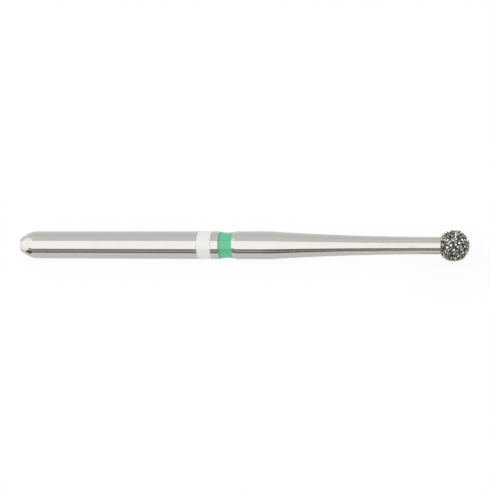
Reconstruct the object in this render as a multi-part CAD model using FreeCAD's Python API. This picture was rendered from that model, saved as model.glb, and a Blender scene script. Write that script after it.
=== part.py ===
"""Friction-grip dental bur with a round head of coarse diamond grit.

The bur's axis lies along X, with the origin at the centre of the flat rear face
and the head towards +X. Sizes are in millimetres, angles in degrees.
"""

import FreeCAD
import Part
import math
import os
import random

Vector = FreeCAD.Vector
AXIS = Vector(1, 0, 0)
SAME_POINT = 1e-9

# Shank and its chamfered tail
shank_diameter = 1.60
tail_face_diameter = 0.84
tail_cone_angle = 30.5
tail_corner_radius = 0.10
tail_blend_radius = 1.32

# White ring, filled nearly flush into a shallow groove
white_ring_start = 10.785
white_ring_width = 0.81
white_groove_depth = 0.030
white_ring_proud = 0.008
white_ring_bevel = 0.02

# Green ring, in a hollow groove, set back from its centre towards the tail
land_between_grooves = 0.365
green_groove_width = 1.06
green_groove_depth = 0.092
green_ring_width = 0.785
green_ring_setback = 0.06
green_ring_thickness = 0.018
green_ring_bevel = 0.02

# Taper and neck, with the plain shank between the green ring's groove and the taper
land_before_taper = 1.90
taper_blend_radius = 9.0
neck_diameter = 0.96

# Head, with its diameter over the grit
head_centre = 25.315
head_diameter = 1.83
grit_above_bond = 0.07
bond_under_grit = 0.025

# Diamond grains
coarsest_grain = 0.235
finest_grain = 0.17
shortest_axis_share = 0.78
grain_level_spread = 0.018
grain_clearance = 0.002
grain_throws = 900
grain_seed = 11

# Places and radii that follow from the sizes above
white_ring_end = white_ring_start + white_ring_width
green_groove_centre = white_ring_end + land_between_grooves + green_groove_width / 2
taper_start = green_groove_centre + green_groove_width / 2 + land_before_taper
shank_radius = shank_diameter / 2
neck_radius = neck_diameter / 2
grit_radius = head_diameter / 2
bond_radius = grit_radius - grit_above_bond
core_radius = grit_radius - grain_level_spread - coarsest_grain - bond_under_grit


def polar(centre, radius, angle):
    """The point of a circle in the profile's plane, at an angle from the axis."""
    turn = math.radians(angle)
    return centre + Vector(radius * math.cos(turn), radius * math.sin(turn), 0)


def arc(centre, radius, start, end):
    """The stretch of a circle between two angles."""
    angles = (start, (start + end) / 2, end)
    return Part.Arc(*[polar(centre, radius, angle) for angle in angles]).toShape()


def ends(step):
    """Where a step of a profile, a point or an edge, starts and ends."""
    if isinstance(step, Vector):
        return step, step
    return step.firstVertex(True).Point, step.lastVertex(True).Point


def profile(steps):
    """A closed wire through points and edges, with straight lines between them."""
    edges = []
    here = ends(steps[-1])[1]
    for step in steps:
        start, end = ends(step)
        if here.distanceToPoint(start) > SAME_POINT:
            edges.append(Part.LineSegment(here, start).toShape())
        if step is not start:
            edges.append(step)
        here = end
    return Part.Wire(edges)


def turned(steps):
    """The solid that a profile sweeps in one turn round the axis."""
    return Part.Face(profile(steps)).revolve(Vector(), AXIS, 360)


def neck_angle(radius):
    """Where the neck enters a sphere round the head's centre, seen from there."""
    return 180 - math.degrees(math.asin(neck_radius / radius))


def tail():
    """Rounded corner of the rear face, cone, and blend into the shank."""
    slope = math.radians(tail_cone_angle)
    rise = tail_corner_radius * (1 - math.sin(slope)) / math.cos(slope)
    corner = Vector(tail_corner_radius, tail_face_diameter / 2 - rise, 0)
    drop = tail_blend_radius * (1 - math.cos(slope))
    cone_end = (shank_radius - drop - tail_face_diameter / 2) / math.tan(slope)
    blend_end = cone_end + tail_blend_radius * math.sin(slope)
    blend = Vector(blend_end, shank_radius - tail_blend_radius, 0)
    normal = 90 + tail_cone_angle
    return [
        arc(corner, tail_corner_radius, 180, normal),
        arc(blend, tail_blend_radius, normal, 90),
    ]


def white_groove():
    """Square shallow groove for the white ring."""
    floor = shank_radius - white_groove_depth
    return [
        Vector(white_ring_start, shank_radius, 0),
        Vector(white_ring_start, floor, 0),
        Vector(white_ring_end, floor, 0),
        Vector(white_ring_end, shank_radius, 0),
    ]


def green_groove_circle():
    """Centre and radius of the circle that the hollow groove's section follows."""
    half = green_groove_width / 2
    radius = (half**2 + green_groove_depth**2) / (2 * green_groove_depth)
    return Vector(green_groove_centre, shank_radius - green_groove_depth + radius, 0), radius


def green_groove():
    """Hollow groove for the green ring."""
    centre, radius = green_groove_circle()
    half = math.degrees(math.asin(green_groove_width / 2 / radius))
    return [arc(centre, radius, -90 - half, -90 + half)]


def taper():
    """One long hollow arc, tangent to the neck at the head, blended at the shank."""
    foot = head_centre + bond_radius * math.cos(math.radians(neck_angle(bond_radius)))
    length = foot - taper_start
    height = shank_radius - neck_radius
    radius = (length**2 + height**2) / (2 * height)
    centre = Vector(foot, neck_radius + radius, 0)
    blend_level = shank_radius - taper_blend_radius
    across = centre.y - blend_level
    back = math.sqrt((radius + taper_blend_radius) ** 2 - across**2)
    blend = Vector(foot - back, blend_level, 0)
    meeting = math.degrees(math.atan2(across, back))
    return [
        arc(blend, taper_blend_radius, 90, meeting),
        arc(centre, radius, meeting - 180, -90),
    ]


def steel_blank():
    """The turned piece: shank, grooves, taper, neck and the ball under the grit."""
    head = Vector(head_centre, 0, 0)
    ball = [arc(head, core_radius, neck_angle(core_radius), 0)]
    steps = [Vector()] + tail() + white_groove() + green_groove() + taper() + ball
    return turned(steps)


def white_ring():
    """Enamel band with bevelled edges, standing just proud of the shank."""
    floor = shank_radius - white_groove_depth
    top = shank_radius + white_ring_proud
    bevel = min(white_ring_bevel, (top - floor) / 2)
    steps = [
        Vector(white_ring_start, floor, 0),
        Vector(white_ring_start, top - bevel, 0),
        Vector(white_ring_start + bevel, top, 0),
        Vector(white_ring_end - bevel, top, 0),
        Vector(white_ring_end, top - bevel, 0),
        Vector(white_ring_end, floor, 0),
    ]
    return turned(steps)


def green_ring():
    """Enamel of even thickness on the hollow groove's floor, bevelled at its edges."""
    centre, radius = green_groove_circle()
    middle = -90 - math.degrees(math.asin(green_ring_setback / radius))
    half = math.degrees(math.asin(green_ring_width / 2 / radius))
    flat = half - math.degrees(green_ring_bevel / radius)
    steps = [
        arc(centre, radius - green_ring_thickness, middle - flat, middle + flat),
        arc(centre, radius, middle + half, middle - half),
    ]
    return turned(steps)


def random_direction(dice):
    """A direction that falls anywhere on the sphere with equal chance."""
    height = dice.uniform(-1, 1)
    turn = dice.uniform(0, 2 * math.pi)
    flat = math.sqrt(1 - height**2)
    return Vector(height, flat * math.cos(turn), flat * math.sin(turn))


class Grain:
    """An octahedral crystal, turned at random and seated on the head."""

    def __init__(self, dice, size):
        direction = random_direction(dice)
        level = grit_radius - dice.uniform(0, grain_level_spread)
        arms = self.arms(dice, size)
        centre = direction * min(self.reach(arm, direction, level) for arm in arms)
        self.middle = centre
        self.tips = [centre + arm for arm in arms]
        self.faces = self.sides()

    @staticmethod
    def arms(dice, size):
        """Six arms in opposite pairs along three square axes."""
        first = random_direction(dice)
        third = first.cross(random_direction(dice)).normalize()
        second = third.cross(first)
        pairs = []
        for axis in (first, second, third):
            length = size / 2 * dice.uniform(shortest_axis_share, 1)
            pairs += [axis * length, axis * -length]
        return pairs

    @staticmethod
    def reach(arm, direction, level):
        """How far out the middle may sit before this arm's tip passes the level."""
        along = arm.dot(direction)
        return math.sqrt(level**2 - arm.dot(arm) + along**2) - along

    def sides(self):
        """Eight triangles, each wound so that its normal points out."""
        triangles = []
        for x_tip in self.tips[0:2]:
            for y_tip in self.tips[2:4]:
                for z_tip in self.tips[4:6]:
                    normal = (y_tip - x_tip).cross(z_tip - x_tip).normalize()
                    corners = [x_tip, y_tip, z_tip]
                    if normal.dot(x_tip - self.middle) < 0:
                        normal = normal * -1
                        corners.reverse()
                    triangles.append((corners, normal))
        return triangles

    def parts_from(self, other):
        """Whether one of this grain's faces keeps the other grain clear of it."""
        for corners, normal in self.faces:
            gap = min(normal.dot(tip - corners[0]) for tip in other.tips)
            if gap > grain_clearance:
                return True
        return False

    def clears(self, other):
        """Whether the two grains stay apart."""
        far = self.middle.distanceToPoint(other.middle) > coarsest_grain + grain_clearance
        return far or self.parts_from(other) or other.parts_from(self)

    def clears_neck(self):
        """Whether the grain stays out of the neck and the nickel along it."""
        reach = neck_radius + bond_under_grit
        return all(tip.x > 0 or math.hypot(tip.y, tip.z) > reach for tip in self.tips)

    def solid(self):
        """The crystal's solid, in its place on the head."""
        place = Vector(head_centre, 0, 0)
        shell = []
        for corners, _ in self.faces:
            points = [corner + place for corner in corners]
            shell.append(Part.Face(Part.makePolygon(points + points[:1])))
        return Part.Solid(Part.Shell(shell))


def throw_grains():
    """Coarse grains land first, and ever finer ones fill the room that is left."""
    dice = random.Random(grain_seed)
    landed = []
    for throw in range(grain_throws):
        size = coarsest_grain + (finest_grain - coarsest_grain) * throw / grain_throws
        grain = Grain(dice, size)
        if grain.clears_neck() and all(grain.clears(other) for other in landed):
            landed.append(grain)
    return [grain.solid() for grain in landed]


def nickel_bond(crystals):
    """Plated shell round the steel ball, with a pocket round every grain."""
    head = Vector(head_centre, 0, 0)
    steps = [
        arc(head, bond_radius, 0, neck_angle(bond_radius)),
        arc(head, core_radius, neck_angle(core_radius), 0),
    ]
    return turned(steps).cut(crystals)


def main():
    os.makedirs("parts", exist_ok=True)
    crystals = throw_grains()
    nodes = {
        "steel_blank": steel_blank(),
        "white_ring": white_ring(),
        "green_ring": green_ring(),
        "nickel_bond": nickel_bond(crystals),
        "diamond_grit": Part.makeCompound(crystals),
    }
    for name, shape in nodes.items():
        shape.exportStep(f"parts/{name}.step")
        print(name, len(shape.Solids), round(shape.Volume, 5), shape.isValid())


main()
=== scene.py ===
"""Looks of a friction-grip dental bur with a round head of coarse diamond grit.

Everything is in metres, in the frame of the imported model: the bur's axis lies
along X, the origin is the centre of the rear face, and the head is towards +X.
"""

import math

import bpy
import numpy as np
from bpy.props import FloatProperty, FloatVectorProperty, IntProperty, PointerProperty
from bpy.types import Operator, Panel, PropertyGroup
from mathutils import Matrix, Vector


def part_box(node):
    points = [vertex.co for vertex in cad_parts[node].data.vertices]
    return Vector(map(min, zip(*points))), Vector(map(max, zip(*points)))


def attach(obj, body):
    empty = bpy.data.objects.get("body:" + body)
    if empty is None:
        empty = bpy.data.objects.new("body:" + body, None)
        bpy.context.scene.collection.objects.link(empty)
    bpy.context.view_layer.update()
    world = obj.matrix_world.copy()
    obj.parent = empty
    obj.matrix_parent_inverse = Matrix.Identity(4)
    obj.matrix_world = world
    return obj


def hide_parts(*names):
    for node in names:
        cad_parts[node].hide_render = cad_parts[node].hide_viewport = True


bl_info = {
    "name": "Dental bur",
    "version": (1, 0, 0),
    "blender": (4, 5, 0),
    "location": "3D View > Sidebar > Bur",
    "description": "Builds a friction-grip diamond bur and the stage it is shown on",
    "category": "Add Mesh",
}

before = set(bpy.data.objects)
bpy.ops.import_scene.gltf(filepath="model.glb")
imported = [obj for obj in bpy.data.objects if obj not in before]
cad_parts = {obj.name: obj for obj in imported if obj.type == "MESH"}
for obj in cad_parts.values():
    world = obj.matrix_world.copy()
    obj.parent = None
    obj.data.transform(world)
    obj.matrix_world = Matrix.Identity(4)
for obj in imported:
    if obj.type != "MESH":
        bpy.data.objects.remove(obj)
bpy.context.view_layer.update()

MM = 0.001
_, blank_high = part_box("steel_blank")
_, bond_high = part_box("nickel_bond")
grit_low, grit_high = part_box("diamond_grit")
white_low, white_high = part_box("white_ring")
green_low, green_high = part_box("green_ring")
BOND_RADIUS = float(bond_high[1])
HEAD_CENTRE = bond_high[0] - BOND_RADIUS

SHANK_SEGMENTS = 256
HEAD_SEGMENTS = 300

# A crystal with its six tips cut off, shrunk to leave room for its corners to stray
CRYSTAL_CORNERS = 24
CRYSTAL_FACES = 14
CRYSTAL_SHRINK = 0.985

# Small chips: the smallest as a share of the largest, and as shares of a chip's size,
# how far it rises over the nickel and keeps from grains, other chips and the neck.
# A grain counts as a ball, whose radius is a share of the grain's mean arm.
CHIP_SMALLEST = 0.4
CHIP_RISE = 0.05
CHIP_TO_GRAIN = 0.55
CHIP_TO_CHIP = 0.8
CHIP_GAP = 0.02 * MM
CHIP_CUTS = (0.05, 0.3)
CHIP_STRAY = 0.08
GRAIN_BALL = 0.62

# Sockets of the colour part of a Mix node
COLOUR_A, COLOUR_B, COLOUR_RESULT = 6, 7, 2

# Light and cards. Places are in millimetres, heights round the axis in degrees.
WARM = (1, 0.985, 0.955)
CARD_GREY = (1, 0.985, 0.96)
STRIP_RUNS = (("tail", (-60, 5), 1.0), ("taper", (5, 16), 0.62), ("neck", (16, 85), 0.85))
STRIP_HEIGHTS = (("low", (4.5, 19.0), 0.21), ("high", (22.8, 41.3), 0.36))
END_CARDS = ((27, 48, 1.62), (48, 75, 1.38), (75, 140, 1.18))
END_DISTANCE = -75 * MM
SENSOR = 36.0


def length(name, text, value, **more):
    """A length in metres that a user may change."""
    return FloatProperty(
        name=name, description=text, default=float(value), unit="LENGTH", precision=6, **more
    )


def share(name, text, value):
    """A share from 0 to 1 that a user may change."""
    return FloatProperty(
        name=name, description=text, default=value, min=0, max=1, subtype="FACTOR"
    )


def colour(name, text, value):
    """A colour in linear light that a user may change."""
    return FloatVectorProperty(
        name=name, description=text, default=value, min=0, max=1, size=3, subtype="COLOR"
    )


class BurShank(PropertyGroup):
    """Sizes of the turned blank."""

    radius: length("Radius", "Radius of the shank's cylinder", blank_high[1])
    tail_face: length("Tail face", "Radius where the cone would meet the rear face", 0.42 * MM)
    tail_angle: FloatProperty(
        name="Tail angle",
        description="Slope of the tail's cone from the axis",
        default=math.radians(30.5),
        subtype="ANGLE",
    )
    tail_corner: length("Tail corner", "Rounding of the rear face's edge", 0.10 * MM)
    tail_blend: length("Tail blend", "Radius of the arc from the cone to the cylinder", 1.32 * MM)
    groove_depth: length("White groove", "Depth of the white ring's groove", 0.03 * MM)
    hollow_centre: length("Hollow centre", "Middle of the green ring's hollow groove", 12.49 * MM)
    hollow_depth: length("Hollow depth", "Depth of the green ring's hollow groove", 0.092 * MM)
    hollow_width: length("Hollow width", "Width of the green ring's hollow groove", 1.06 * MM)
    coat: length("Green coat", "Thickness of the green ring", 0.018 * MM)
    taper_start: length("Taper start", "Where the taper would leave the shank", 14.92 * MM)
    taper_blend: length("Taper blend", "Radius of the soft corner at the taper", 9.0 * MM)
    neck: length("Neck", "Radius of the neck at the head", 0.48 * MM)
    edge: length("Edge break", "Rounding of the sharp edges", 0.012 * MM)


class BurHead(PropertyGroup):
    """Sizes and counts of the coated head."""

    centre: length("Centre", "Distance of the ball's centre from the rear face", HEAD_CENTRE)
    bond: length("Bond", "Radius of the nickel round the ball", BOND_RADIUS)
    core: length("Core", "Radius of the steel ball under the nickel", blank_high[0] - HEAD_CENTRE)
    grit: length("Grit", "Radius over the coarse grains", grit_high[0] - HEAD_CENTRE)
    meniscus: length("Meniscus", "How far the nickel climbs at each grain", 0.02 * MM)
    smallest_cut: share("Smallest cut", "Least share of its arm that a crystal's tip loses", 0.06)
    largest_cut: share("Largest cut", "Largest share of its arm that a crystal's tip loses", 0.26)
    chipping: share("Chipping", "How far a crystal's corners stray, as a share of its arm", 0.05)
    fines: IntProperty(
        name="Fines", description="Small chips tried between the grains", default=3200, min=0
    )
    fine_size: length("Fine size", "Arm of the largest small chip", 0.08 * MM)
    seed: IntProperty(name="Seed", description="Seed of the random draws", default=5)


class BurFinish(PropertyGroup):
    """Colours of the finishes."""

    steel: colour("Steel", "Ground and polished steel", (0.520, 0.510, 0.492))
    # Near black: the nickel's colour carries painted shade between the grains.
    nickel: colour("Nickel", "Plated nickel between the grains", (0.045, 0.042, 0.034))
    green: colour("Green", "Enamel of the coarse mark", (0.076, 0.455, 0.250))
    white: colour("White", "Enamel of the plain mark", (0.675, 0.68, 0.675))


class BurStage(PropertyGroup):
    """Light, floor and camera."""

    distance: length("Distance", "From the camera to the point it looks at", 77.15 * MM)
    aim: length("Aim", "The point on the axis at the picture's centre", 13.49 * MM)
    drop: length("Drop", "How far the axis lies below the picture's centre", 0.011 * MM)
    focal: FloatProperty(name="Focal length", description="Lens in millimetres", default=98.96)
    toward_head: FloatProperty(
        name="Toward head",
        description="How far the camera stands off square to the axis, towards the head",
        default=math.radians(11.5),
        subtype="ANGLE",
    )
    above: FloatProperty(
        name="Above",
        description="The camera's turn round the axis, up from the front",
        default=math.radians(75),
        subtype="ANGLE",
    )
    roll: FloatProperty(
        name="Roll",
        description="The camera's turn about its line of sight",
        default=math.radians(0.115),
        subtype="ANGLE",
    )
    softbox: FloatProperty(name="Softbox", description="Overhead light, in watts", default=0.034)
    room: share("Room", "Level of the room's light on rough surfaces", 0.92)
    behind: share("Behind", "How much more of the room's light comes from behind", 0.22)


def arc(centre, radius, start, end, count):
    """Points of a circle: centre plus radius times (cos, sin) of angles from start to end."""
    turn = np.linspace(start, end, count)
    return np.column_stack((centre[0] + radius * np.cos(turn), centre[1] + radius * np.sin(turn)))


def broken(corner, before, after, size, count=5):
    """A corner rounded by a curve of second order: (1-t)^2 a + 2t(1-t) corner + t^2 b."""
    corner, before, after = (np.asarray(point, float) for point in (corner, before, after))
    a = corner + size * (before - corner) / np.linalg.norm(before - corner)
    b = corner + size * (after - corner) / np.linalg.norm(after - corner)
    t = np.linspace(0, 1, count)[:, None]
    return (1 - t) ** 2 * a + 2 * t * (1 - t) * corner + t**2 * b


def straight(start, end, count):
    """Even points between two, without the two themselves."""
    t = np.linspace(0, 1, count + 2)[1:-1, None]
    return (1 - t) * np.asarray(start) + t * np.asarray(end)


def add_piece(name, vertices, faces, material, replaced=(), smooth=True, sharp=math.radians(35)):
    """A mesh object at the origin that rides on the bur and stands for CAD nodes."""
    mesh = bpy.data.meshes.new(name)
    mesh.from_pydata(vertices.tolist(), [], faces)
    mesh.validate()
    mesh.polygons.foreach_set("use_smooth", np.full(len(mesh.polygons), smooth))
    if smooth:
        mesh.set_sharp_from_angle(angle=sharp)
    mesh.materials.append(material)
    mesh.update()
    piece = bpy.data.objects.new(name, mesh)
    bpy.context.scene.collection.objects.link(piece)
    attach(piece, "root")
    if replaced:
        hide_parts(*replaced)
    return piece


def turned(profile, segments, closed=False, relief=None):
    """A profile of (x, r) rows turned round the X axis.

    Point (i, j) is (x_i, r_i cos t_j, r_i sin t_j), with t_j = 2 pi j / segments.
    A profile with ends on the axis closes at two poles, a closed one meets itself.
    relief, a function of the points, moves them.
    """
    turn = np.arange(segments) * 2 * math.pi / segments
    rows = profile if closed else profile[1:-1]
    count = len(rows)
    points = np.empty((count, segments, 3))
    points[..., 0] = rows[:, :1]
    points[..., 1] = rows[:, 1:] * np.cos(turn)
    points[..., 2] = rows[:, 1:] * np.sin(turn)
    points = points.reshape(-1, 3)
    if relief:
        points = relief(points)
    index = np.arange(count * segments).reshape(count, segments)
    if closed:
        index = np.vstack((index, index[:1]))
    low, high = index[:-1], index[1:]
    quads = np.stack((low, high, np.roll(high, -1, 1), np.roll(low, -1, 1)), -1)
    faces = quads.reshape(-1, 4).tolist()
    if not closed:
        first, last = len(points), len(points) + 1
        poles = np.array([[profile[0, 0], 0, 0], [profile[-1, 0], 0, 0]])
        points = np.vstack((points, poles))
        near, far = index[0], index[-1]
        faces += [(first, b, a) for a, b in zip(near.tolist(), np.roll(near, -1).tolist())]
        faces += [(last, a, b) for a, b in zip(far.tolist(), np.roll(far, -1).tolist())]
    return points, faces


def outward(points, faces):
    """The faces turned over where the solid they bound would have a negative volume."""
    tri = np.array([face[:3] for face in faces])
    a, b, c = points[tri[:, 0]], points[tri[:, 1]], points[tri[:, 2]]
    if np.einsum("ij,ij->i", a - points.mean(0), np.cross(b - a, c - a)).sum() < 0:
        return [tuple(reversed(face)) for face in faces]
    return faces


def hollow_circle(shank):
    """Centre and radius of the green groove's section."""
    half = shank.hollow_width / 2
    radius = (half**2 + shank.hollow_depth**2) / (2 * shank.hollow_depth)
    return (shank.hollow_centre, shank.radius - shank.hollow_depth + radius), radius


def tail_profile(shank):
    """Rear face, its round edge, the cone and the arc into the cylinder."""
    slope = shank.tail_angle
    rise = shank.tail_corner * (1 - math.sin(slope)) / math.cos(slope)
    corner = (shank.tail_corner, shank.tail_face - rise)
    drop = shank.tail_blend * (1 - math.cos(slope))
    cone_end = (shank.radius - drop - shank.tail_face) / math.tan(slope)
    blend = (cone_end + shank.tail_blend * math.sin(slope), shank.radius - shank.tail_blend)
    normal = math.pi / 2 + slope
    face = np.linspace(0, corner[1], 8)[:-1]
    return np.vstack((
        np.column_stack((np.zeros_like(face), face)),
        arc(corner, shank.tail_corner, math.pi, normal, count=8),
        arc(blend, shank.tail_blend, normal, math.pi / 2, count=14),
    ))


def groove_profile(shank):
    """The shallow square groove under the white ring."""
    top, floor = shank.radius, shank.radius - shank.groove_depth
    start, end = white_low[0], white_high[0]
    return np.vstack((
        broken((start, top), (start - MM, top), (start, 0), shank.edge),
        [(start, floor), (end, floor)],
        broken((end, top), (end, 0), (end + MM, top), shank.edge),
    ))


def hollow_profile(shank):
    """The hollow groove under the green ring, with its rims broken."""
    centre, radius = hollow_circle(shank)
    half = math.asin(shank.hollow_width / 2 / radius)
    bowl = arc(centre, radius, -math.pi / 2 - half, -math.pi / 2 + half, count=25)
    top, soft = shank.radius, 2 * shank.edge
    return np.vstack((
        broken(bowl[0], (bowl[0, 0] - MM, top), bowl[1], soft),
        bowl[1:-1],
        broken(bowl[-1], bowl[-2], (bowl[-1, 0] + MM, top), soft),
    ))


def taper_profile(shank, head):
    """Soft corner, then one long hollow arc that runs tangent into the neck."""
    foot = head.centre - math.sqrt(head.bond**2 - shank.neck**2)
    run, height = foot - shank.taper_start, shank.radius - shank.neck
    radius = (run**2 + height**2) / (2 * height)
    across = shank.neck + radius - shank.radius + shank.taper_blend
    back = math.sqrt((radius + shank.taper_blend) ** 2 - across**2)
    meeting = math.atan2(across, back)
    blend = (foot - back, shank.radius - shank.taper_blend)
    hollow = (foot, shank.neck + radius)
    return np.vstack((
        arc(blend, shank.taper_blend, math.pi / 2, meeting, count=8),
        arc(hollow, radius, meeting - math.pi, -math.pi / 2, count=60)[1:],
    ))


def ball_arc(head, radius, neck, count):
    """Half section of a ball, from where the neck enters it to its pole on the axis."""
    return arc((head.centre, 0), radius, math.pi - math.asin(neck / radius), 0, count)


class BUR_OT_blank(Operator):
    """Turn the steel blank: tail, shank, grooves, taper, neck and ball"""

    bl_idname = "bur.blank"
    bl_label = "Steel blank"

    def execute(self, context):
        shank, head = context.scene.bur_shank, context.scene.bur_head
        tail, groove = tail_profile(shank), groove_profile(shank)
        hollow, taper = hollow_profile(shank), taper_profile(shank, head)
        profile = np.vstack((
            tail,
            straight(tail[-1], groove[0], count=30),
            groove,
            straight(groove[-1], hollow[0], count=4),
            hollow,
            straight(hollow[-1], taper[0], count=8),
            taper,
            ball_arc(head, head.core, shank.neck, count=16),
        ))
        points, faces = turned(profile, SHANK_SEGMENTS)
        add_piece(
            "bur_blank", points, outward(points, faces), steel_finish(context.scene.bur_finish),
            ["steel_blank"], sharp=math.radians(40),
        )
        return {"FINISHED"}


class BUR_OT_rings(Operator):
    """Fill the two enamel rings into their grooves"""

    bl_idname = "bur.rings"
    bl_label = "Colour rings"

    def execute(self, context):
        shank, finish = context.scene.bur_shank, context.scene.bur_finish
        white, green = white_finish(finish), green_finish(finish)
        self.add("bur_white_band", self.white(shank), white, "white_ring", "white_enamel")
        self.add("bur_green_band", self.green(shank), green, "green_ring", "green_enamel")
        return {"FINISHED"}

    def add(self, name, profile, material, node, slot):
        """A ring turned from its closed profile, in place of its CAD node."""
        points, faces = turned(profile, SHANK_SEGMENTS, closed=True)
        piece = add_piece(name, points, outward(points, faces), material, [node])

    def white(self, shank):
        """A flat band whose edges round over into the groove."""
        floor, top = shank.radius - shank.groove_depth, float(white_high[1])
        start, end = white_low[0], white_high[0]
        bead = 0.035 * MM
        return np.vstack((
            [(start, floor)],
            broken((start, top), (start, floor), (end, top), bead, count=9),
            straight((start + bead, top), (end - bead, top), count=6),
            broken((end, top), (start, top), (end, floor), bead, count=9),
            [(end, floor)],
        ))

    def green(self, shank):
        """A coat of even thickness that follows the hollow and thins at its edges.

        At a distance d from an edge, up to the thinning t, it is c sqrt(1 - (1 - d/t)^2)
        thick, with c the whole coat. Its underside lies a little inside the steel.
        """
        centre, radius = hollow_circle(shank)
        thinning, sunk = 0.03 * MM, 0.004 * MM
        start, end = (math.asin((x - centre[0]) / radius) for x in (green_low[0], green_high[0]))
        turn = np.linspace(start, end, 49)
        edge = np.minimum(turn - start, end - turn) * radius / thinning
        coat = radius - shank.coat * np.sqrt(1 - (1 - edge.clip(0, 1)) ** 2)
        top = np.column_stack((
            centre[0] + coat * np.sin(turn),
            centre[1] - coat * np.cos(turn),
        ))
        down = math.pi / 2
        under = arc(centre, radius + sunk, end - down, start - down, count=25)
        return np.vstack((top, under))


def cad_grains():
    """Middle and three arms of every octahedral crystal in the CAD node.

    Each crystal is eight triangles in a row. Its middle is the mean of their
    corners, and one triangle's corners are the tips of three arms.
    """
    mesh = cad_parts["diamond_grit"].data
    points = np.empty(len(mesh.vertices) * 3)
    mesh.vertices.foreach_get("co", points)
    corners = np.empty(len(mesh.loops), int)
    mesh.loops.foreach_get("vertex_index", corners)
    crystals = points.reshape(-1, 3)[corners].reshape(-1, 8 * 3, 3)
    middles = crystals.mean(1)
    arms = crystals[:, :3] - middles[:, None]
    return middles, arms


def random_arms(dice, sizes):
    """Three square arms per crystal, turned at random, with random shares of the size."""
    count = len(sizes)
    first, other = (unit(dice.normal(size=(count, 3))) for _ in range(2))
    third = unit(np.cross(first, other))
    second = np.cross(third, first)
    reach = sizes[:, None] * dice.uniform(0.6, 1, (count, 3))
    return np.stack((first, second, third), 1) * reach[..., None]


def unit(vectors):
    """Vectors divided by their lengths."""
    return vectors / np.linalg.norm(vectors, axis=-1, keepdims=True)


def cut_crystals(dice, middles, arms, least, most, stray):
    """Octahedra with their tips cut off: 24 corners and 14 faces each.

    The corner by tip s of arm i, towards tip t of arm j, is
    s a_i + cut_i (t a_j - s a_i). Its stray is a random share of the arm.
    """
    flipped = np.linalg.det(arms) < 0
    arms = arms * np.where(flipped, -1, 1)[:, None, None]
    # The neighbours of each tip: their sign, and how many axes on they are
    towards = ((1, 1), (1, 2), (-1, 1), (-1, 2))
    pairs = [(i, s, (i + k) % 3, t) for i in range(3) for s in (1, -1) for t, k in towards]
    slot = {pair: number for number, pair in enumerate(pairs)}
    cut = dice.uniform(least, most, (len(arms), 3, 2))
    corners = []
    for i, s, j, t in pairs:
        lost = cut[:, i, (1 - s) // 2][:, None]
        corners.append(s * arms[:, i] * (1 - lost) + t * arms[:, j] * lost)
    corners = np.stack(corners, 1)
    reach = np.linalg.norm(arms, axis=2).mean(1)[:, None, None]
    corners = corners * CRYSTAL_SHRINK + dice.uniform(-stray, stray, corners.shape) * reach
    points = (middles[:, None] + corners).reshape(-1, 3)
    shapes = []
    for i in range(3):
        j, k = (i + 1) % 3, (i + 2) % 3
        for s in (1, -1):
            ring = [slot[i, s, j, 1], slot[i, s, k, 1], slot[i, s, j, -1], slot[i, s, k, -1]]
            shapes.append(ring if s > 0 else ring[::-1])
    for a in (1, -1):
        for b in (1, -1):
            for c in (1, -1):
                ring = [
                    slot[0, a, 1, b], slot[1, b, 0, a], slot[1, b, 2, c],
                    slot[2, c, 1, b], slot[2, c, 0, a], slot[0, a, 2, c],
                ]
                shapes.append(ring if a * b * c > 0 else ring[::-1])
    faces = [
        tuple(corner + CRYSTAL_CORNERS * number for corner in shape)
        for number in range(len(middles))
        for shape in shapes
    ]
    return points, faces


def mark_glints_and_tints(piece, dice, count):
    """Each facet's tone, a painted glint or painted shade, and each crystal's tint, as attributes
    of the faces.

    A facet's tone is mostly its own random draw and a little its crystal's, and stands for how
    much light the facet catches.
    """
    own = dice.uniform(0, 1, (count, CRYSTAL_FACES))
    crystal_glint_draw = dice.uniform(0, 1, (count, 1))
    tone = (0.85 * own + 0.15 * crystal_glint_draw).ravel()
    tint = np.repeat(dice.uniform(0, 1, count), CRYSTAL_FACES)
    for name, values in (("tone", tone), ("tint", tint)):
        layer = piece.data.attributes.new(name, "FLOAT", "FACE")
        layer.data.foreach_set("value", values)


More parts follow.
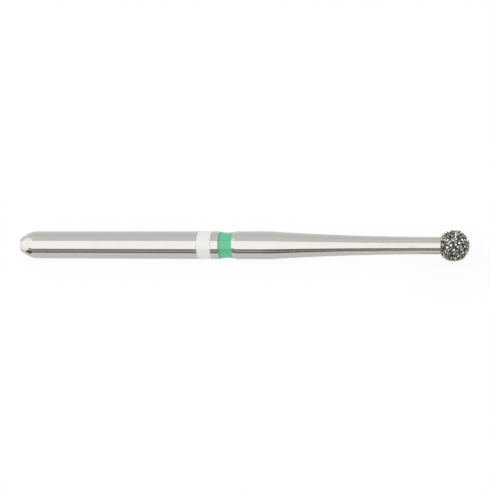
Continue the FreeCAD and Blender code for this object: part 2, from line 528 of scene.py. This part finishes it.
class BUR_OT_head(Operator):
    """Plate the head with nickel, grain by grain, and set the crystals in it"""

    bl_idname = "bur.head"
    bl_label = "Diamond head"

    def execute(self, context):
        shank, head = context.scene.bur_shank, context.scene.bur_head
        finish = context.scene.bur_finish
        dice = np.random.default_rng(head.seed)
        middles, arms = cad_grains()
        diamond = diamond_finish()
        self.grit(head, dice, middles, arms, diamond)
        self.fines(shank, head, dice, middles, arms, diamond)
        self.bond(shank, head, middles, nickel_finish(finish))
        return {"FINISHED"}

    def grit(self, head, dice, middles, arms, material):
        """The coarse crystals of the CAD model, none past the radius over the grit."""
        points, faces = cut_crystals(
            dice, middles, arms, head.smallest_cut, head.largest_cut, head.chipping
        )
        centre = np.array((head.centre, 0, 0))
        away = points - centre
        radius = np.linalg.norm(away, axis=1, keepdims=True)
        points = centre + away * np.minimum(head.grit / radius, 1)
        piece = add_piece("bur_crystals", points, faces, material, ["diamond_grit"], smooth=False)
        mark_glints_and_tints(piece, dice, len(middles))

    def fines(self, shank, head, dice, middles, arms, material):
        """Small chips thrown at the ball, kept where grains, chips and neck leave room."""
        centre = np.array((head.centre, 0, 0))
        aim = unit(dice.normal(size=(head.fines, 3)))
        sizes = head.fine_size * dice.uniform(CHIP_SMALLEST, 1, head.fines)
        level = np.minimum(head.bond + CHIP_RISE * sizes, head.grit - sizes)
        places = centre + aim * level[:, None]
        reach = np.linalg.norm(arms, axis=2).mean(1)
        gaps = np.linalg.norm(places[:, None] - middles[None], axis=2) - GRAIN_BALL * reach
        free = gaps.min(1) > CHIP_TO_GRAIN * sizes
        behind = places[:, 0] < head.centre
        from_axis = np.hypot(places[:, 1], places[:, 2])
        free &= ~behind | (from_axis > shank.neck + CHIP_TO_CHIP * sizes)
        kept = []
        for number in np.flatnonzero(free):
            near = np.linalg.norm(places[kept] - places[number], axis=1) if kept else np.ones(1)
            if near.min() > CHIP_TO_CHIP * sizes[number] + CHIP_GAP:
                kept.append(number)
        points, faces = cut_crystals(
            dice, places[kept], random_arms(dice, sizes[kept]), *CHIP_CUTS, CHIP_STRAY
        )
        piece = add_piece("bur_fine_grit", points, faces, material, smooth=False)
        mark_glints_and_tints(piece, dice, len(kept))

    def bond(self, shank, head, middles, material):
        """The nickel shell: a ball that climbs towards every grain and dips between.

        A point at angle d from the nearest grain lies at bond + m (exp(-(d/w)^2) - 0.6),
        with m the meniscus and w the reach of the climb. The shell's inside and its foot
        on the neck stay where they are.
        """
        centre = np.array((head.centre, 0, 0))
        towards = unit(middles - centre)
        climb = 0.11 * MM / head.bond
        skin, foot, dip = 0.01 * MM, 0.02 * MM, 0.6

        def relief(points):
            away = points - centre
            radius = np.linalg.norm(away, axis=1, keepdims=True)
            near = np.arccos(np.clip((away / radius) @ towards.T, -1, 1)).min(1)
            lift = head.meniscus * (np.exp(-((near / climb) ** 2)) - dip)
            outside = radius[:, 0] > head.bond - skin
            moved = outside & (points[:, 0] > outer[0, 0] + foot)
            return points + away / radius * (lift * moved)[:, None]

        outer = ball_arc(head, head.bond, shank.neck, count=190)
        inner = ball_arc(head, head.core, shank.neck, count=20)[::-1]
        profile = np.vstack((inner, outer))
        points, faces = turned(profile, HEAD_SEGMENTS, relief=relief)
        piece = add_piece(
            "bur_nickel", points, outward(points, faces), material, ["nickel_bond"]
        )


class Field:
    """A number that varies over a surface. Sums and products of fields add Math nodes."""

    def __init__(self, graph, socket):
        self.graph = graph
        self.socket = socket

    def maths(self, operation, *values):
        """A Math node on fields or numbers."""
        return self.graph.add("ShaderNodeMath", {"operation": operation}, dict(enumerate(values)))

    def __add__(self, other):
        return self.maths("ADD", self, other)

    def __radd__(self, other):
        return self.maths("ADD", other, self)

    def __sub__(self, other):
        return self.maths("SUBTRACT", self, other)

    def __rsub__(self, other):
        return self.maths("SUBTRACT", other, self)

    def __mul__(self, other):
        return self.maths("MULTIPLY", self, other)

    def __rmul__(self, other):
        return self.maths("MULTIPLY", other, self)

    def __truediv__(self, other):
        return self.maths("DIVIDE", self, other)

    def __pow__(self, other):
        return self.maths("POWER", self, other)

    def clamped(self):
        """The number held between 0 and 1."""
        return self.graph.add("ShaderNodeClamp", {}, {"Value": self})


class Graph:
    """The nodes of one material or world."""

    def __init__(self, tree):
        self.tree = tree
        tree.nodes.clear()

    def add(self, kind, settings, values, output=0):
        """A node of that type: its settings first, then the values or links of its sockets."""
        node = self.tree.nodes.new(kind)
        for name, value in settings.items():
            if name == "stops":
                self.set_stops(node.color_ramp, value)
            else:
                setattr(node, name, value)
        for key, value in values.items():
            socket = node.inputs[key]
            if isinstance(value, Field):
                self.tree.links.new(value.socket, socket)
            else:
                socket.default_value = value
        return Field(self, node.outputs[output]) if len(node.outputs) else node

    @staticmethod
    def set_stops(ramp, stops):
        """A ramp's stops: (position, colour) pairs in order."""
        while len(ramp.elements) < len(stops):
            ramp.elements.new(1)
        for element, (position, value) in zip(ramp.elements, stops):
            element.position = position
            element.color = (*value, 1)

    def mix(self, factor, one, other):
        """A colour between two, by a factor."""
        values = {"Factor": factor, COLOUR_A: rgba(one), COLOUR_B: rgba(other)}
        return self.add("ShaderNodeMix", {"data_type": "RGBA"}, values, output=COLOUR_RESULT)

    def place(self, scale=(1, 1, 1)):
        """The object's own coordinates in millimetres, stretched by a scale."""
        spot = self.add("ShaderNodeTexCoord", {}, {}, output="Object")
        per_mm = tuple(1000 * part for part in scale)
        return self.add("ShaderNodeMapping", {}, {"Vector": spot, "Scale": per_mm})

    def along(self):
        """The distance from the rear face in millimetres."""
        return self.add("ShaderNodeSeparateXYZ", {}, {"Vector": self.place()})

    def noise(self, vector, scale, detail, roughness):
        """Smooth noise from 0 to 1."""
        values = {"Vector": vector, "Scale": scale, "Detail": detail, "Roughness": roughness}
        return self.add("ShaderNodeTexNoise", {}, values)

    def bump(self, height, depth):
        """A normal for a height field whose range from 0 to 1 is that deep, in metres."""
        values = {"Height": height, "Distance": depth, "Strength": 1.0}
        return self.add("ShaderNodeBump", {}, values)

    def finish(self, shader):
        """Join a shader to the material's output."""
        self.add("ShaderNodeOutputMaterial", {}, {"Surface": shader})


def rgba(value):
    """A plain colour with full alpha, or a field as it is."""
    return value if isinstance(value, Field) else (*value, 1)


def tinted(shade, tint):
    """A colour times a tint, part by part."""
    return tuple(part * factor for part, factor in zip(shade, tint))


def material(name):
    """A new node material and its graph."""
    made = bpy.data.materials.new(name)
    made.use_nodes = True
    return made, Graph(made.node_tree)


def steel_finish(finish):
    """Ground steel: fine marks round the shank, streaked and warmer towards the neck."""
    made, graph = material("ground steel")
    marks = graph.noise(graph.place((26, 0.7, 0.7)), scale=1.0, detail=5.0, roughness=0.6)
    streaks = graph.noise(graph.place((1.1, 9, 9)), scale=1.0, detail=3.0, roughness=0.55)
    clouds = graph.noise(graph.place(), scale=1.3, detail=4.0, roughness=0.6)
    taper_start, taper_length = 14.5, 8.5
    cone_end, cone_fade = 0.75, 0.3
    neck = ((graph.along() - taper_start) / taper_length).clamped()
    tail = ((cone_end - graph.along()) / cone_fade).clamped()
    warm = tinted(finish.steel, (1.03, 0.995, 0.955))
    dull, streaked = tinted(finish.steel, (0.93,) * 3), tinted(warm, (0.78,) * 3)
    lines = ((streaks - 0.5) * 5.0).clamped()
    tone = graph.mix(neck * 0.8, tuple(finish.steel), warm)
    tone = graph.mix(((clouds - 0.45) * 2.2).clamped() * 0.45, tone, dull)
    tone = graph.mix(neck * lines * 0.6, tone, streaked)
    rough = 0.05 + marks * 0.05 + neck * streaks * 0.05 + tail * 0.06
    relief = marks * 0.6 + streaks * neck * 0.7
    shader = graph.add("ShaderNodeBsdfPrincipled", {}, {
        "Base Color": tone,
        "Metallic": 1.0,
        "Roughness": rough,
        "Normal": graph.bump(relief, depth=0.0012 * MM),
    })
    graph.finish(shader)
    return made


def enamel(name, shade, light, dark, rough, rim=0.0):
    """Baked enamel: faint pooling of colour, orange-peel relief and tiny specks.

    Where a rim is given, the colour is darker in a narrow strip beside it, as painted shade at the
    groove's edge.
    """
    made, graph = material(name)
    pools = graph.noise(graph.place(), scale=2.2, detail=4.0, roughness=0.55)
    peel = graph.noise(graph.place(), scale=9.0, detail=3.0, roughness=0.5)
    specks = graph.add("ShaderNodeTexVoronoi", {}, {"Vector": graph.place(), "Scale": 3.1})
    speck = (1 - specks * 9.0).clamped()
    bright = tuple(min(1.0, part * light + 0.03) for part in shade)
    tone = graph.mix(((pools - 0.3) * 2.4).clamped(), tinted(shade, (dark,) * 3), tuple(shade))
    tone = graph.mix(speck * 0.35, tone, bright)
    if rim:
        # Painted shade: the colour darkens in a narrow strip beside the rim.
        width, fade = 0.13, 18.0
        band = ((rim / MM + width - graph.along()) * fade).clamped()
        tone = graph.mix(band, tone, tinted(shade, (0.8, 0.6, 0.6)))
    shader = graph.add("ShaderNodeBsdfPrincipled", {}, {
        "Base Color": tone,
        "Roughness": rough + peel * 0.10,
        "IOR": 1.6,
        "Normal": graph.bump(peel + pools * 0.8, depth=0.002 * MM),
    })
    graph.finish(shader)
    return made


def green_finish(finish):
    """Mint green enamel of the coarse mark, with painted shade along its edge towards the tail."""
    rim = float(green_low[0])
    return enamel("green enamel", finish.green, light=1.35, dark=0.9, rough=0.08, rim=rim)


def white_finish(finish):
    """White enamel of the plain mark."""
    return enamel("white enamel", finish.white, light=1.1, dark=0.97, rough=0.08)


def nickel_finish(finish):
    """Dull nodular nickel, darker in its hollows and stained olive in patches; its near-black
    colour is painted shade between the grains.
    """
    made, graph = material("plated nickel")
    nodules = graph.add("ShaderNodeTexVoronoi", {}, {"Vector": graph.place(), "Scale": 22.0})
    stain = graph.noise(graph.place(), scale=5.0, detail=4.0, roughness=0.6)
    olive = tinted(finish.nickel, (0.62, 0.62, 0.50))
    tone = graph.mix(((stain - 0.35) * 3.0).clamped(), tuple(finish.nickel), olive)
    shader = graph.add("ShaderNodeBsdfPrincipled", {}, {
        "Base Color": tone,
        "Metallic": 1.0,
        "Roughness": 0.26 + stain * 0.2,
        "Normal": graph.bump(1 - nodules, depth=0.012 * MM),
    })
    graph.finish(shader)
    return made


def diamond_finish():
    """Broken diamond over dark nickel, some crystals olive: each facet's colour runs from painted
    shade, near black, to a painted mirror-bright glint.
    """
    made, graph = material("diamond grit")
    tone = graph.add("ShaderNodeAttribute", {"attribute_name": "tone"}, {}, output=2)
    tint = graph.add("ShaderNodeAttribute", {"attribute_name": "tint"}, {}, output=2)
    chips = graph.noise(graph.place(), scale=12.0, detail=2.0, roughness=0.5)
    # depth sets each facet's painted light: low is painted shade, high a painted glint.
    depth = (tone + (chips - 0.5) * 0.25).clamped()
    clear_shade_and_glints = graph.add("ShaderNodeValToRGB", {"stops": [
        (0.0, (0.003, 0.003, 0.002)),
        (0.24, (0.035, 0.034, 0.031)),
        (0.46, (0.52, 0.513, 0.484)),
        (0.72, (0.97, 0.965, 0.94)),
    ]}, {"Fac": depth})
    olive = graph.add("ShaderNodeValToRGB", {"stops": [
        (0.0, (0.005, 0.004, 0.003)),
        (0.24, (0.050, 0.046, 0.030)),
        (0.46, (0.52, 0.502, 0.385)),
        (0.72, (0.95, 0.93, 0.80)),
    ]}, {"Fac": depth})
    shader = graph.add("ShaderNodeBsdfPrincipled", {}, {
        "Base Color": graph.mix(tint ** 4.0, clear_shade_and_glints, olive),
        "Metallic": ((depth - 0.45) * 4.0).clamped() * 0.6,
        "Roughness": 0.08 + tint * 0.12,
        "IOR": 1.4,
        "Specular IOR Level": 0.25,
        "Normal": graph.bump(chips, depth=0.003 * MM),
    })
    graph.finish(shader)
    return made


class BUR_OT_stage(Operator):
    """Set the pale floor, the cards, the soft light and the camera"""

    bl_idname = "bur.stage"
    bl_label = "Stage"

    def execute(self, context):
        scene, stage = context.scene, context.scene.bur_stage
        self.floor()
        self.room(scene, stage)
        self.softbox(scene, stage)
        for name, run, part in STRIP_RUNS:
            for place, height, level in STRIP_HEIGHTS:
                self.card(f"{name}_card_{place}", run, height, level * part)
        self.card("back_card", run=(-60, 85), height=(152, 172), level=0.93)
        self.end_card("end_card_middle", side=(-58, 27), rise=(1, 75.4), level=1.67, lean=0.268)
        for start, stop, level in END_CARDS:
            self.end_card(f"end_card_{start}", side=(start, stop), rise=(1, 130), level=level)
        self.end_card("end_card_dark", side=(-135, -58), rise=(-3, 16), level=0.03)
        self.floor_card("floor_card_bright", fan=(-33, 18), level=1.5)
        self.floor_card("floor_card_dark", fan=(-63, -38), level=0.03)
        self.flag(run=(23.2, 27.8), y=-1.2, rise=(-0.7, 0.7))
        self.camera(scene, stage)
        scene.view_settings.view_transform = "Standard"
        return {"FINISHED"}

    def show(self, name, points, faces, material):
        """A mesh that isn't part of the bur."""
        mesh = bpy.data.meshes.new(name)
        mesh.from_pydata(points.tolist(), [], faces)
        mesh.materials.append(material)
        piece = bpy.data.objects.new(name, mesh)
        bpy.context.scene.collection.objects.link(piece)
        return piece

    def floor(self):
        """A plain white floor just under the head, whose shadow it keeps."""
        made, graph = material("white floor")
        diffuse = graph.add("ShaderNodeBsdfDiffuse", {}, {"Color": (0.82, 0.82, 0.82, 1)})
        paper = graph.add("ShaderNodeEmission", {}, {"Color": (1, 1, 1, 1), "Strength": 1.0})
        eye, metal, glass = ray_kinds(graph)
        white = (eye * 0.93 + (metal + glass) * 0.22).clamped()
        graph.finish(graph.add("ShaderNodeMixShader", {}, {0: white, 1: diffuse, 2: paper}))
        reach, gap = 0.6, 0.002 * MM
        level = float(grit_low[2]) - gap
        corners = [(-reach, -reach), (reach, -reach), (reach, reach), (-reach, reach)]
        points = np.array([(x, y, level) for x, y in corners])
        self.show("floor", points, [(0, 1, 2, 3)], made)

    def card(self, name, run, height, level):
        """A grey strip of a cylinder round the axis, with a run in X.

        Its height is two angles round the axis, up from the front.
        """
        radius, steps = 60 * MM, 8
        turn = np.radians(np.linspace(*height, steps + 1))
        rim = np.column_stack((-radius * np.cos(turn), radius * np.sin(turn)))
        points = np.array([(x * MM, y, z) for x in run for y, z in rim])
        faces = [(i, i + 1, i + steps + 2, i + steps + 1) for i in range(steps)]
        made, graph = material(name)
        shade = rgba(tuple(level * part for part in CARD_GREY))
        graph.finish(graph.add("ShaderNodeEmission", {}, {"Color": shade, "Strength": 1.0}))
        self.reflected_only(self.show(name, points, faces, made))

    def end_card(self, name, side, rise, level, lean=0.0):
        """A card square to the axis behind the tail, from and to those millimetres in Y and Z.

        Its top edge climbs by lean times Y, so that it can follow the softbox's edge.
        """
        (left, right), (low, high) = side, rise
        points = np.array([(END_DISTANCE, y * MM, z * MM) for y, z in (
            (left, low), (right, low), (right, high + lean * right), (left, high + lean * left),
        )])
        self.lit_card(name, points, level)

    def floor_card(self, name, fan, level):
        """A wedge just over the floor, fanned out from the tail between two angles from -X."""
        low, high = (math.radians(angle) for angle in fan)
        near, far, z = 4.5 * MM, 74 * MM, float(grit_low[2])
        points = np.array([
            (-reach * math.cos(turn), reach * math.sin(turn), z)
            for reach, turn in ((near, low), (far, low), (far, high), (near, high))
        ])
        self.lit_card(name, points, level)

    def lit_card(self, name, points, level):
        """A flat card that shines evenly, in the softbox's colour."""
        made, graph = material(name)
        graph.finish(graph.add("ShaderNodeEmission", {}, {"Color": rgba(WARM), "Strength": level}))
        self.reflected_only(self.show(name, points, [(0, 1, 2, 3)], made))

    def flag(self, run, y, rise):
        """A black flag in front of the head, from and to those millimetres in X and Z.

        It keeps some of the room's light off the ball's front, and shows in nothing.
        """
        made, graph = material("black flag")
        graph.finish(graph.add("ShaderNodeBsdfDiffuse", {}, {"Color": (0, 0, 0, 1)}))
        (left, right), (low, high) = run, rise
        corners = ((left, low), (right, low), (right, high), (left, high))
        points = np.array([(x * MM, y * MM, z * MM) for x, z in corners])
        piece = self.show("black_flag", points, [(0, 1, 2, 3)], made)
        piece.visible_camera = False
        piece.visible_glossy = False
        piece.visible_transmission = False

    @staticmethod
    def reflected_only(piece):
        """A card that shows in the metal and neither lights nor shades anything."""
        piece.visible_camera = False
        piece.visible_diffuse = False
        piece.visible_shadow = False

    def room(self, scene, stage):
        """A white room: plain white to the eye and in reflections, dimmer as light."""
        world = bpy.data.worlds.new("room")
        world.use_nodes = True
        scene.world = world
        graph = Graph(world.node_tree)
        eye, metal, glass = ray_kinds(graph)
        seen = (eye + metal + glass).clamped()
        way = graph.add("ShaderNodeTexCoord", {}, {}, output="Generated")
        behind = graph.add("ShaderNodeSeparateXYZ", {}, {"Vector": way}, output="Y")
        light = stage.room * (1 + behind * stage.behind)
        level = light + seen * (1 - light)
        shade = graph.add("ShaderNodeBackground", {}, {"Color": (1, 1, 1, 1), "Strength": level})
        graph.add("ShaderNodeOutputWorld", {}, {"Surface": shade})

    def softbox(self, scene, stage):
        """A large soft light over the bur, square to the line that the camera looks along."""
        light = bpy.data.lights.new("softbox", "AREA")
        light.shape = "RECTANGLE"
        height, light.size, light.size_y = 70 * MM, 170 * MM, 91 * MM
        light.energy = stage.softbox
        light.color = WARM
        lamp = bpy.data.objects.new("softbox", light)
        away = Vector((0, -math.cos(stage.above), math.sin(stage.above)))
        along = Vector((1, 0, 0))
        turn = Matrix((along, away.cross(along), away)).transposed().to_4x4()
        place = Vector((stage.aim, 0, 0)) + height * away
        lamp.matrix_world = Matrix.Translation(place) @ turn
        scene.collection.objects.link(lamp)
        lamp.visible_camera = False

    def camera(self, scene, stage):
        """The photograph's view: from above the front, a little towards the head."""
        lens = bpy.data.cameras.new("camera")
        lens.sensor_width = SENSOR
        lens.lens = stage.focal
        lens.clip_start, lens.clip_end = 1 * MM, 10.0
        side, up = stage.toward_head, stage.above
        flat = math.cos(side)
        back = Vector((math.sin(side), -flat * math.cos(up), flat * math.sin(up)))
        right = (Vector((1, 0, 0)) - back * back.x).normalized()
        turn = Matrix((right, back.cross(right), back)).transposed()
        turn = turn @ Matrix.Rotation(stage.roll, 3, "Z")
        eye = Vector((stage.aim, 0, 0)) + back * stage.distance + back.cross(right) * stage.drop
        camera = bpy.data.objects.new("camera", lens)
        camera.matrix_world = Matrix.Translation(eye) @ turn.to_4x4()
        scene.collection.objects.link(camera)
        scene.camera = camera


def ray_kinds(graph):
    """1 on what the eye sees straight, in a mirror or in glass, and 0 elsewhere."""
    return [graph.add("ShaderNodeLightPath", {}, {}, output=name) for name in (
        "Is Camera Ray", "Is Glossy Ray", "Is Transmission Ray",
    )]


class BUR_PT_panel(Panel):
    """The bur's pieces and sizes"""

    bl_idname = "BUR_PT_panel"
    bl_label = "Dental bur"
    bl_space_type = "VIEW_3D"
    bl_region_type = "UI"
    bl_category = "Bur"

    def draw(self, context):
        for operator in OPERATORS:
            self.layout.operator(operator.bl_idname)
        for group in GROUPS:
            box = self.layout.box()
            settings = getattr(context.scene, group)
            for name in settings.bl_rna.properties.keys():
                if name not in ("rna_type", "name"):
                    box.prop(settings, name)


GROUPS = {
    "bur_shank": BurShank,
    "bur_head": BurHead,
    "bur_finish": BurFinish,
    "bur_stage": BurStage,
}
OPERATORS = (BUR_OT_blank, BUR_OT_rings, BUR_OT_head, BUR_OT_stage)


def register():
    for made in (*GROUPS.values(), *OPERATORS, BUR_PT_panel):
        bpy.utils.register_class(made)
    for name, group in GROUPS.items():
        setattr(bpy.types.Scene, name, PointerProperty(type=group))


def unregister():
    for name in GROUPS:
        delattr(bpy.types.Scene, name)
    for made in reversed((*GROUPS.values(), *OPERATORS, BUR_PT_panel)):
        bpy.utils.unregister_class(made)


def main():
    register()
    bpy.ops.bur.blank()
    bpy.ops.bur.rings()
    bpy.ops.bur.head()
    bpy.ops.bur.stage()


if __name__ == "__main__":
    main()
